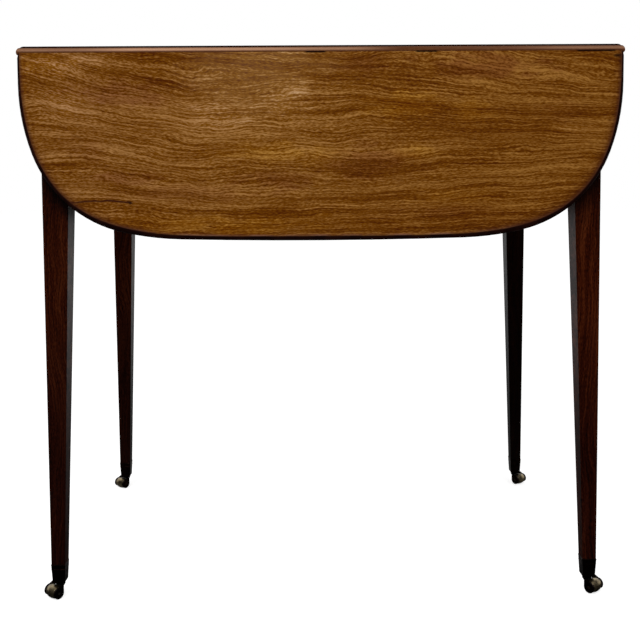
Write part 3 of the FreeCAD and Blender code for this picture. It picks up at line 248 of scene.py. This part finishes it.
def edge_depth(tree):
    """Depth in from a leaf's free edge, less than 0 outside it.

    The outline is near |x / half|^side_power + (drop / reach)^drop_power = 1.
    What the sum lacks of 1, over its slope a metre at the edge, is about the depth.
    """
    side = maths(tree, "DIVIDE", maths(tree, "ABSOLUTE", along(tree, "X")), leaf_half)
    drop = maths(tree, "MAXIMUM", maths(tree, "SUBTRACT", hinge_height, along(tree, "Z")), 0.0)
    side_share = maths(tree, "POWER", side, side_power)
    drop_share = maths(tree, "POWER", maths(tree, "DIVIDE", drop, leaf_reach), drop_power)
    lack = maths(tree, "SUBTRACT", 1.0, maths(tree, "ADD", side_share, drop_share))
    return maths(tree, "DIVIDE", lack, edge_slope)


leg_colours = np.array([(0.003, 0.0002, 0.0), (0.0245, 0.003, 0.0002), (0.06, 0.0125, 0.0028)])
side_face_coat = 0.35
# Each leg's colours times a painted shade, as the light falls on it: the back legs darker, the back right darkest, the
# front right lighter; then each leg's coat
leg_shade_and_coat = (
    ("leg_front_left", 0.92, 0.2),
    ("leg_front_right", 1.25, 0.11),
    ("leg_back_left", 0.58, 0.1),
    ("leg_back_right", 0.2, 0.08),
)
for number, (name, depth, coat) in enumerate(leg_shade_and_coat):
    start = (0.13 * number, 0.37 * number, 0.21 * number)
    colours = (leg_colours * depth).tolist()
    leg_wood = wood(f"{name}_wood", "Z", colours, rough=0.34, specular=0.02, coat=coat, pore_depth=0.5, start=start)
    tree = leg_wood.node_tree
    # Darker towards the floor, a painted shadow of the leaf close under its edge, and a thinner polish on the side
    # faces
    tint(leg_wood, spread(tree, along(tree, "Z"), 0.37, 0.19), (0.42, 0.35, 0.5))
    tint(leg_wood, spread(tree, edge_depth(tree), -0.022, -0.004), (0.2, 0.2, 0.25))
    thinner = spread(tree, facing(tree, "X"), 0.5, 0.9, coat, coat * side_face_coat)
    tree.links.new(thinner, tree.nodes["Principled BSDF"].inputs["Coat Weight"])
    dress([name], leg_wood)

# Long rails: an inner rail tenoned into the legs, and before it an outer rail in fixed and swinging lengths.
# Plain brown hardwood, sawn along the table and only waxed, because the leaf hides it.
colours = ((0.022, 0.0065, 0.0025), (0.038, 0.012, 0.0045), (0.062, 0.021, 0.008))
rail_wood = wood("rail_wood", "X", colours, rough=0.5, specular=0.2, coat=0.0, pore_depth=0.4)
rail_pieces = ("inner_rail", "fly_rail", "rail_ends", "left_fly", "right_fly")
dress([f"{side}_{piece}" for side in ("front", "back") for piece in rail_pieces], rail_wood)

# Ends: two rails above and below the drawer at one end, and at the other one board with a drawer drawn on it in bead.
# Show wood like the legs, its grain across the table, polished.
colours = ((0.012, 0.0026, 0.0012), (0.024, 0.0058, 0.0026), (0.05, 0.0135, 0.0055))
end_wood = wood("end_wood", "Y", colours, rough=0.34, specular=0.02, coat=0.2, pore_depth=0.5)
dress(["drawer_top_rail", "drawer_bottom_rail", "drawer_front", "drawer_beads"], end_wood)
dress(["dummy_rail", "dummy_beads"], end_wood)

# Inside: runners, kickers, stops and corner blocks glued to the frame, and the drawer's own sides, back and bottom.
# Bare pale softwood gone brown with age, never polished.
colours = ((0.15, 0.08, 0.032), (0.23, 0.13, 0.054), (0.33, 0.2, 0.09))
glued_in = ("drawer_runners", "drawer_kickers", "drawer_stops", "corner_blocks")
for name, grain_way, pieces in (
    ("inner_wood", "X", (*glued_in, "drawer_front_side", "drawer_back_side")),
    ("inner_wood_flat", "X flat", ("drawer_bottom",)),
    ("inner_wood_across", "Y", ("drawer_back",)),
):
    dress(pieces, wood(name, grain_way, colours, rough=0.7, specular=0.2, coat=0.0, pore_depth=0.15))

# Top: one wide board, its ends rounded over, its long sides worked to a small step and the round half of a rule joint.
# Golden brown polished wood, grain along the table; the rounded ends are painted dark as shade, and the worked edge
# carries a painted highlight.
gold = ((0.07, 0.0125, 0.0), (0.16, 0.052, 0.0015), (0.36, 0.173, 0.045))
dark_gaps_and_shade = (0.008, 0.0018, 0.0011)
top_half = 0.375
crown_height = 0.7028
top_coat = 0.2
gold_finish = {"rough": 0.3, "specular": 0.02, "pore_depth": 0.2}
top_wood = wood("top_wood", "X flat", gold, coat=top_coat, start=(0.4, 0.0, 0.9), **gold_finish)
tree = top_wood.node_tree
height = along(tree, "Z")
worked = spread(tree, facing(tree, "Y"), 0.1, 0.25)
overlay(top_wood, times(tree, worked, 0.9), (0.07, 0.022, 0.009))

# A painted highlight along the crown of the worked edge, stronger at some lengths than at others
crown_highlight = spread(tree, distance(tree, height, crown_height), 0.0028, 0.0006)
highlight_along = add(tree, "ShaderNodeValToRGB", {"Fac": spread(tree, along(tree, "X"), -top_half, top_half)})
stops = highlight_along.color_ramp.elements
highlight_along.color_ramp.interpolation = "EASE"
for spot, share in ((0.08, 0.4), (0.2, 1.0), (0.38, 0.9), (0.53, 0.6), (0.64, 0.02), (0.78, 0.1), (0.93, 0.42)):
    stops.new(spot).color = (share, share, share, 1.0)
stops.remove(stops[-1])
stops.remove(stops[0])
overlay(top_wood, times(tree, times(tree, worked, crown_highlight), highlight_along.outputs["Color"]), (0.41, 0.22, 0.128))
overlay(top_wood, times(tree, worked, spread(tree, height, 0.7056, 0.7062)), dark_gaps_and_shade)
# Painted shade on the rounded ends
overlay(top_wood, spread(tree, facing(tree, "X"), 0.08, 0.25), dark_gaps_and_shade)


def open_joint(tree):
    """Where the joint under the top's front side has opened a little: 1 in three lengths along it."""
    fade = 0.004
    lengths = 0.0
    for centre, half in ((-0.0075, 0.0145), (0.1295, 0.0155), (0.34, 0.026)):
        length = spread(tree, distance(tree, along(tree, "X"), centre), half, half - fade)
        lengths = maths(tree, "MAXIMUM", length, lengths)
    return times(tree, lengths, spread(tree, along(tree, "Y"), -0.1, -0.11))


overlay(top_wood, times(tree, open_joint(tree), spread(tree, height, 0.7003, 0.6996)), dark_gaps_and_shade)
tree.links.new(spread(tree, worked, 0.0, 1.0, top_coat, 0.0), tree.nodes["Principled BSDF"].inputs["Coat Weight"])
dress(["top_board"], top_wood)

# Leaves: a wide board each, hollowed along the joint and rounded over round the free edge, hung on two iron hinges.
# The same golden wood with a rippled figure in it; the front leaf has darker places, paler places of painted sheen,
# painted shade to the right and below, and one short shake.
patch_group, given, result = new_group(
    "soft_patch",
    [
        ("Vector", "NodeSocketVector"),
        ("Centre", "NodeSocketVector"),
        ("Half size", "NodeSocketVector"),
        ("Ragged", "NodeSocketFloat"),
    ],
    [("Mask", "NodeSocketFloat")],
)
away = vector_maths(patch_group, "SUBTRACT", given.outputs["Vector"], given.outputs["Centre"])
shares = vector_maths(patch_group, "DIVIDE", away, given.outputs["Half size"])
radius = add(patch_group, "ShaderNodeVectorMath", {0: shares}, operation="LENGTH").outputs["Value"]
broken = noise(patch_group, given.outputs["Vector"], (40.0, 40.0, 130.0), 2.0, 0.6)
torn = times(patch_group, maths(patch_group, "SUBTRACT", broken, 0.5), given.outputs["Ragged"])
links = {"Value": maths(patch_group, "ADD", radius, torn), "From Min": 1.3, "From Max": 0.2}
soft = add(patch_group, "ShaderNodeMapRange", links, interpolation_type="SMOOTHSTEP")
patch_group.links.new(soft.outputs["Result"], result.inputs["Mask"])


def patch(tree, x, z, half_x, half_z, strength, ragged=2.5):
    """A soft oval place on a leaf's face, centred at x and z, its outline broken by noise."""
    node = add(tree, "ShaderNodeGroup", node_tree=patch_group)
    tree.links.new(place(tree), node.inputs["Vector"])
    node.inputs["Centre"].default_value = (x, 0.0, z)
    node.inputs["Half size"].default_value = (half_x, 1.0, half_z)
    node.inputs["Ragged"].default_value = ragged
    return times(tree, node.outputs["Mask"], strength)


leaf_coat = 0.15
front_wood = wood("front_leaf_wood", "X", gold, coat=leaf_coat, **gold_finish)
back_wood = wood("back_leaf_wood", "X", gold, coat=leaf_coat, start=(1.3, 0.6, 0.4), **gold_finish)

# High on the front leaf the fibres climb towards its left end and dip towards its right end
tree = front_wood.node_tree
figure = next(node for node in tree.nodes if node.type == "GROUP").inputs["Vector"]
left_run = maths(tree, "MINIMUM", maths(tree, "ADD", along(tree, "X"), 0.16), 0.0)
left_lean = times(tree, left_run, spread(tree, along(tree, "Z"), 0.54, 0.69, 0.0, 0.22))
right_run = maths(tree, "MAXIMUM", maths(tree, "SUBTRACT", along(tree, "X"), 0.15), 0.0)
right_lean = times(tree, right_run, spread(tree, along(tree, "Z"), 0.58, 0.66, 0.0, 0.12))
lean = lifted(tree, maths(tree, "ADD", left_lean, right_lean))
tree.links.new(vector_maths(tree, "ADD", figure.links[0].from_socket, lean), figure)

# Its darker and more golden places, and paler places of painted sheen: x, z, half length, half height and strength
dark_places = (
    (-0.245, 0.652, 0.07, 0.02, 0.75),
    (0.06, 0.562, 0.055, 0.026, 0.7),
    (-0.243, 0.546, 0.05, 0.009, 0.65),
    (-0.051, 0.542, 0.06, 0.011, 0.65),
    (0.157, 0.498, 0.08, 0.01, 0.5),
    (0.052, 0.683, 0.04, 0.014, 0.65),
    (0.205, 0.68, 0.085, 0.018, 0.85),
    (-0.29, 0.58, 0.03, 0.02, 0.35),
    (0.3, 0.625, 0.03, 0.014, 0.4),
    (-0.165, 0.527, 0.11, 0.013, 0.45),
)
pale_sheen_places = (
    (-0.337, 0.684, 0.055, 0.016, 1.0),
    (-0.138, 0.618, 0.048, 0.021, 0.5),
    (-0.043, 0.638, 0.032, 0.027, 0.5),
    (-0.312, 0.637, 0.04, 0.02, 0.6),
    (0.315, 0.603, 0.035, 0.007, 0.4),
)
golden_places = (
    (-0.051, 0.575, 0.085, 0.014, 0.5),
    (0.098, 0.634, 0.045, 0.019, 0.6),
    (0.185, 0.6245, 0.032, 0.015, 0.55),
    (0.117, 0.576, 0.03, 0.01, 0.5),
    (0.164, 0.521, 0.055, 0.011, 0.45),
    (-0.14, 0.484, 0.15, 0.016, 0.7),
)
for places, colour in (
    (dark_places, (0.68, 0.52, 0.55)),
    (pale_sheen_places, (1.45, 1.65, 2.6)),
    (golden_places, (1.32, 1.36, 0.7)),
):
    for sizes in places:
        tint(front_wood, patch(tree, *sizes), colour)
# A painted sheen high on the left of the leaf: a greyer, paler haze over the grain
painted_sheen = patch(tree, -0.076, 0.688, 0.09, 0.07, 1.0, ragged=1.5)
tint(front_wood, times(tree, painted_sheen, 0.75), (1.5, 1.8, 2.8))
overlay(front_wood, times(tree, painted_sheen, 0.1), (0.47, 0.29, 0.14))
# Painted light and shade across the front leaf: the right side and the bottom darker, the left a little greyer
tint(front_wood, spread(tree, along(tree, "X"), -0.08, -0.3), (0.95, 0.94, 1.08))
tint(front_wood, spread(tree, along(tree, "X"), -0.02, 0.2), (0.9, 0.84, 0.62))
tint(front_wood, spread(tree, along(tree, "Z"), 0.54, 0.49), (0.98, 0.95, 0.88))

# The shake: a thin dark line, arched and a little wavy, with a small dark knot at its right end
shake_left, shake_height = -0.3125, 0.5131
arch_length, arch_rise, wave_rise = 0.0735, 0.0022, 0.003
shake_middle, shake_half, shake_full = 0.0345, 0.0405, 0.0365
from_left = maths(tree, "SUBTRACT", along(tree, "X"), shake_left)
arch = maths(tree, "SINE", times(tree, from_left, math.pi / arch_length))
wobble = noise(tree, place(tree), (90.0, 1.0, 20.0), 2.0, 0.6)
waved = maths(tree, "MULTIPLY_ADD", wobble, wave_rise, shake_height)
off_line = distance(tree, along(tree, "Z"), maths(tree, "MULTIPLY_ADD", arch, arch_rise, waved))
within = spread(tree, distance(tree, from_left, shake_middle), shake_half, shake_full)
shake = times(tree, spread(tree, off_line, 0.0018, 0.0005), within)
overlay(front_wood, times(tree, shake, spread(tree, wobble, 0.3, 0.6, 0.8, 1.0)), (0.035, 0.007, 0.003))
overlay(front_wood, patch(tree, -0.2388, 0.5141, 0.0034, 0.0024, 0.95, ragged=0.0), (0.01, 0.003, 0.002))

# The joint's open lengths, and a chip near its right end
overlay(front_wood, times(tree, open_joint(tree), spread(tree, along(tree, "Z"), 0.6973, 0.6981)), dark_gaps_and_shade)
overlay(front_wood, patch(tree, 0.367, 0.6925, 0.006, 0.0022, 0.8, ragged=3.0), dark_gaps_and_shade)

# Both leaves' free edges, from the face outwards: a soft painted shade, more low down and on the right; a red band; a
# painted highlight where the rounding starts, broken by noise; and a dark rim of painted shade over the rounding
for name, material in (("front_leaf", front_wood), ("back_leaf", back_wood)):
    tree = material.node_tree
    shader = tree.nodes["Principled BSDF"]
    edge = edge_depth(tree)
    edge_noise = noise(tree, place(tree), (30.0, 30.0, 30.0), 3.0, 0.6)
    lowest = spread(tree, along(tree, "Z"), 0.484, 0.473)
    low_side = spread(tree, along(tree, "Z"), 0.64, 0.57, 0.0, 0.45)
    shaded = maths(tree, "MAXIMUM", low_side, spread(tree, along(tree, "X"), 0.0, 0.25))
    shaded = times(tree, shaded, maths(tree, "SUBTRACT", 1.0, lowest))
    tint(material, times(tree, spread(tree, edge, 0.018, 0.004), shaded), (0.5, 0.36, 0.4))
    reddened = times(tree, spread(tree, edge, 0.0112, 0.006), spread(tree, lowest, 0.0, 1.0, 0.8, 0.25))
    overlay(material, reddened, (0.048, 0.0125, 0.0048))
    arris_highlight = times(tree, spread(tree, edge, 0.0082, 0.0066), spread(tree, edge_noise, 0.38, 0.6, 0.1, 0.85))
    arris_highlight = times(tree, arris_highlight, spread(tree, lowest, 0.0, 1.0, 0.15, 1.0))
    overlay(material, arris_highlight, (0.2, 0.092, 0.055))
    rim_shade = spread(tree, edge, 0.0064, 0.005)
    overlay(material, rim_shade, (0.019, 0.0045, 0.0026))
    overlay(material, times(tree, rim_shade, spread(tree, edge_noise, 0.4, 0.55, 0.3, 1.0)), (0.008, 0.0016, 0.0011))
    tree.links.new(spread(tree, rim_shade, 0.0, 1.0, leaf_coat, 0.0), shader.inputs["Coat Weight"])
    rougher = maths(tree, "MULTIPLY_ADD", rim_shade, 0.35, shader.inputs["Roughness"].links[0].from_socket)
    tree.links.new(rougher, shader.inputs["Roughness"])
    dress([name], material)


# Ironwork: hinge plates let in flush under the top and the leaves, with pins and screws, and the fly brackets' pins.
# Wrought iron gone dark, with brown rust in patches.
def metal(name, clean, dull, rough, dull_rough, scale):
    """Old metal: a clean colour, patches of a dull one, and fine rubbing marks nine times as close."""
    material, tree, shader = new_material(name)
    patches = spread(tree, noise(tree, place(tree), (scale, scale, scale), 5.0, 0.65), 0.42, 0.6)
    mark_scale = scale * 9
    marks = noise(tree, place(tree), (mark_scale, mark_scale, mark_scale), 3.0, 0.6)
    tree.links.new(blend(tree, patches, (*clean, 1.0), (*dull, 1.0)), shader.inputs["Base Color"])
    tree.links.new(spread(tree, patches, 0.0, 1.0, rough, dull_rough), shader.inputs["Roughness"])
    shader.inputs["Metallic"].default_value = 1.0
    surface = relief(tree, marks, edge_radius=0.0005, strength=0.15, depth=0.0003)
    tree.links.new(surface, shader.inputs["Normal"])
    return material


iron = metal("old_iron", (0.07, 0.062, 0.055), (0.035, 0.02, 0.013), rough=0.42, dull_rough=0.7, scale=160.0)
dress(["hinge_top_flaps", "hinge_top_screws", "hinge_pins", "fly_pins", "top_screws"], iron)
dress([f"{side}_leaf_{piece}" for side in ("front", "back") for piece in ("flaps", "screws")], iron)

# Knobs: small turned brass knobs on the drawer and on the dummy end, each screwed into the wood by its own tang.
# Brass rubbed bright, with brown patches of tarnish.
brass = metal("knob_brass", (0.52, 0.36, 0.13), (0.24, 0.14, 0.045), rough=0.24, dull_rough=0.42, scale=120.0)
dress(["drawer_knobs", "dummy_knobs"], brass)

# Castors: a square cup on each foot, a horn that swivels under it, and a barrel wheel on a riveted pin.
# Cup and horn are cast brass gone black, the cup with two thin beads round it; the wheel's tread is worn back to metal.
black, blackest = (0.014, 0.006, 0.0042), (0.0035, 0.0014, 0.001)
black_brass = metal("black_brass", black, blackest, rough=0.32, dull_rough=0.5, scale=140.0)
rubbed_bright, stained = (0.27, 0.215, 0.125), (0.05, 0.037, 0.021)
worn_brass = metal("worn_brass", rubbed_bright, stained, rough=0.26, dull_rough=0.45, scale=150.0)
corners = [f"{side}_{end}" for side in ("front", "back") for end in ("left", "right")]
for piece, material in (("cup", black_brass), ("horn", black_brass), ("axle", iron), ("wheel", worn_brass)):
    dress([f"castor_{piece}_{corner}" for corner in corners], material)


def bead_round_cup(centre_x, centre_y, half, corner, height, thick):
    """A round bead carried round a square with rounded corners.

    Points are path(u) + outward(u) * cos v * thick, at height + sin v * thick: u goes round the cup, v round the bead.
    """
    corner_steps, bead_steps = 7, 10
    one_corner = np.linspace(0.0, quarter_turn, corner_steps)
    turn = np.concatenate([one_corner + number * quarter_turn for number in range(4)])
    out_x, out_y = np.cos(turn), np.sin(turn)
    diagonal = np.repeat(np.arange(4), corner_steps) * quarter_turn + quarter_turn / 2
    path_x = centre_x + (half - corner) * np.sign(np.cos(diagonal)) + corner * out_x
    path_y = centre_y + (half - corner) * np.sign(np.sin(diagonal)) + corner * out_y
    round_v = np.linspace(0.0, 2 * math.pi, bead_steps, endpoint=False)
    x = path_x[:, None] + thick * out_x[:, None] * np.cos(round_v)
    y = path_y[:, None] + thick * out_y[:, None] * np.cos(round_v)
    z = np.broadcast_to(height + thick * np.sin(round_v), x.shape)
    return np.stack([x, y, z], axis=-1)


def ring_mesh(name, rings):
    """One mesh from rings of points, each a grid that closes both ways."""
    points, faces, first = [], [], 0
    for grid in rings:
        rows, columns = grid.shape[:2]
        number = first + np.arange(rows * columns).reshape(rows, columns)
        across = np.roll(number, -1, axis=0)
        quads = [number, across, np.roll(across, -1, axis=1), np.roll(number, -1, axis=1)]
        faces.append(np.stack(quads, axis=-1).reshape(-1, 4))
        points.append(grid.reshape(-1, 3))
        first += rows * columns
    mesh = bpy.data.meshes.new(name)
    mesh.from_pydata(np.concatenate(points).tolist(), [], np.concatenate(faces).tolist())
    mesh.shade_smooth()
    item = bpy.data.objects.new(name, mesh)
    bpy.context.scene.collection.objects.link(item)
    return item


foot_x, foot_y = 0.3462, 0.2062
cup_corner, bead_thick = 0.0006, 0.0005
upper_bead, lower_bead = (0.00917, 0.0434), (0.00884, 0.0374)
beads = []
for sign_x in (-1, 1):
    for sign_y in (-1, 1):
        for half, bead_height in (upper_bead, lower_bead):
            foot = (sign_x * foot_x, sign_y * foot_y)
            beads.append(bead_round_cup(*foot, half, cup_corner, bead_height, bead_thick))
cup_beads = ring_mesh("cup_beads", beads)
cup_beads.data.materials.append(black_brass)
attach(cup_beads, "frame")

# Floor: a pale sweep of paper, white to the eye, which keeps the table's shadow.
# It shines back white only behind the table, where the backdrop is.
floor_half = 14.0
floor_corners = [(x * floor_half, y * floor_half, 0.0) for x, y in ((-1, -1), (1, -1), (1, 1), (-1, 1))]
floor_mesh = bpy.data.meshes.new("floor")
floor_mesh.from_pydata(floor_corners, [], [(0, 1, 2, 3)])
floor = bpy.data.objects.new("floor", floor_mesh)
bpy.context.scene.collection.objects.link(floor)
paper = bpy.data.materials.new("pale_floor")
paper.use_nodes = True
tree = paper.node_tree
tree.nodes.clear()
ray = add(tree, "ShaderNodeLightPath")
mirrored = maths(tree, "MAXIMUM", ray.outputs["Is Glossy Ray"], ray.outputs["Is Transmission Ray"])
behind = spread(tree, along(tree, "Y"), -0.2, 2.5)
seen_glow = times(tree, ray.outputs["Is Camera Ray"], 0.75)
mirrored_glow = times(tree, times(tree, mirrored, behind), 0.5)
strength = maths(tree, "MAXIMUM", seen_glow, mirrored_glow)
near_side = times(tree, mirrored, maths(tree, "SUBTRACT", 1.0, behind))
grey = blend(tree, near_side, (0.6, 0.6, 0.6, 1.0), (0.04, 0.04, 0.04, 1.0))
matt = add(tree, "ShaderNodeBsdfDiffuse", {"Color": grey})
glow = add(tree, "ShaderNodeEmission", {"Color": (1.0, 1.0, 1.0, 1.0), "Strength": strength})
both = add(tree, "ShaderNodeAddShader", {0: matt.outputs[0], 1: glow.outputs[0]})
tree.links.new(both.outputs[0], add(tree, "ShaderNodeOutputMaterial").inputs["Surface"])
floor_mesh.materials.append(paper)


# Light: a white backdrop behind and above, and a dim room on the camera's side.
# Two broad lamps hang high in front, the stronger one on the left.
def white_room(tree, strength):
    return add(tree, "ShaderNodeBackground", {"Color": (1.0, 1.0, 1.0, 1.0), "Strength": strength}).outputs[0]


world = bpy.data.worlds.new("studio")
bpy.context.scene.world = world
world.use_nodes = True
tree = world.node_tree
tree.nodes.clear()
ray = add(tree, "ShaderNodeLightPath")
mirrored = maths(tree, "MAXIMUM", ray.outputs["Is Glossy Ray"], ray.outputs["Is Transmission Ray"])
way = part_of(tree, add(tree, "ShaderNodeTexCoord").outputs["Generated"], "Y")
backdrop = spread(tree, way, -0.1, 0.3, 0.08, 1.0)
lit = add(tree, "ShaderNodeMixShader", {0: mirrored, 1: white_room(tree, 0.54), 2: white_room(tree, backdrop)})
links = {0: ray.outputs["Is Camera Ray"], 1: lit.outputs[0], 2: white_room(tree, 1.0)}
pick = add(tree, "ShaderNodeMixShader", links)
tree.links.new(pick.outputs[0], add(tree, "ShaderNodeOutputWorld").inputs["Surface"])
for name, spot, aim, size, power in (
    ("key", (-0.9, -1.7, 2.4), (0.0, 0.0, 0.55), 0.7, 35.0),
    ("fill", (1.2, -1.6, 2.2), (0.0, 0.0, 0.5), 1.4, 8.6),
):
    lamp = bpy.data.lights.new(name, "AREA")
    lamp.energy = power
    lamp.size = size
    item = bpy.data.objects.new(name, lamp)
    bpy.context.scene.collection.objects.link(item)
    item.location = spot
    away = np.array(spot) - np.array(aim)
    level_run = math.hypot(away[0], away[1])
    item.rotation_euler = (math.atan2(level_run, away[2]), 0.0, math.atan2(away[1], away[0]) + quarter_turn)

# Camera: where the photograph was taken from, level with the hanging leaf, its lens shifted down.
# The lens's length and shift are in pixels of a picture 640 wide, on a sensor 36 mm wide.
picture_width, sensor_width = 640.0, 36.0
lens_pixels, shift_pixels = 874.95, 86.24
yaw, pitch, roll = 0.01058, -0.05959, -0.00651
where = (-0.01499, -1.32809, 0.53897)
forward = np.array([math.sin(yaw) * math.cos(pitch), math.cos(yaw) * math.cos(pitch), math.sin(pitch)])
level = np.array([math.cos(yaw), -math.sin(yaw), 0.0])
upright = np.cross(level, forward)
across = math.cos(roll) * level + math.sin(roll) * upright
upward = math.cos(roll) * upright - math.sin(roll) * level
lens = bpy.data.cameras.new("camera")
lens.sensor_width = sensor_width
lens.lens = lens_pixels * sensor_width / picture_width
lens.shift_y = -shift_pixels / picture_width
camera = bpy.data.objects.new("camera", lens)
bpy.context.scene.collection.objects.link(camera)
rows = [[float(across[i]), float(upward[i]), float(-forward[i]), where[i]] for i in range(3)]
camera.matrix_world = Matrix(rows + [[0.0, 0.0, 0.0, 1.0]])
bpy.context.scene.camera = camera
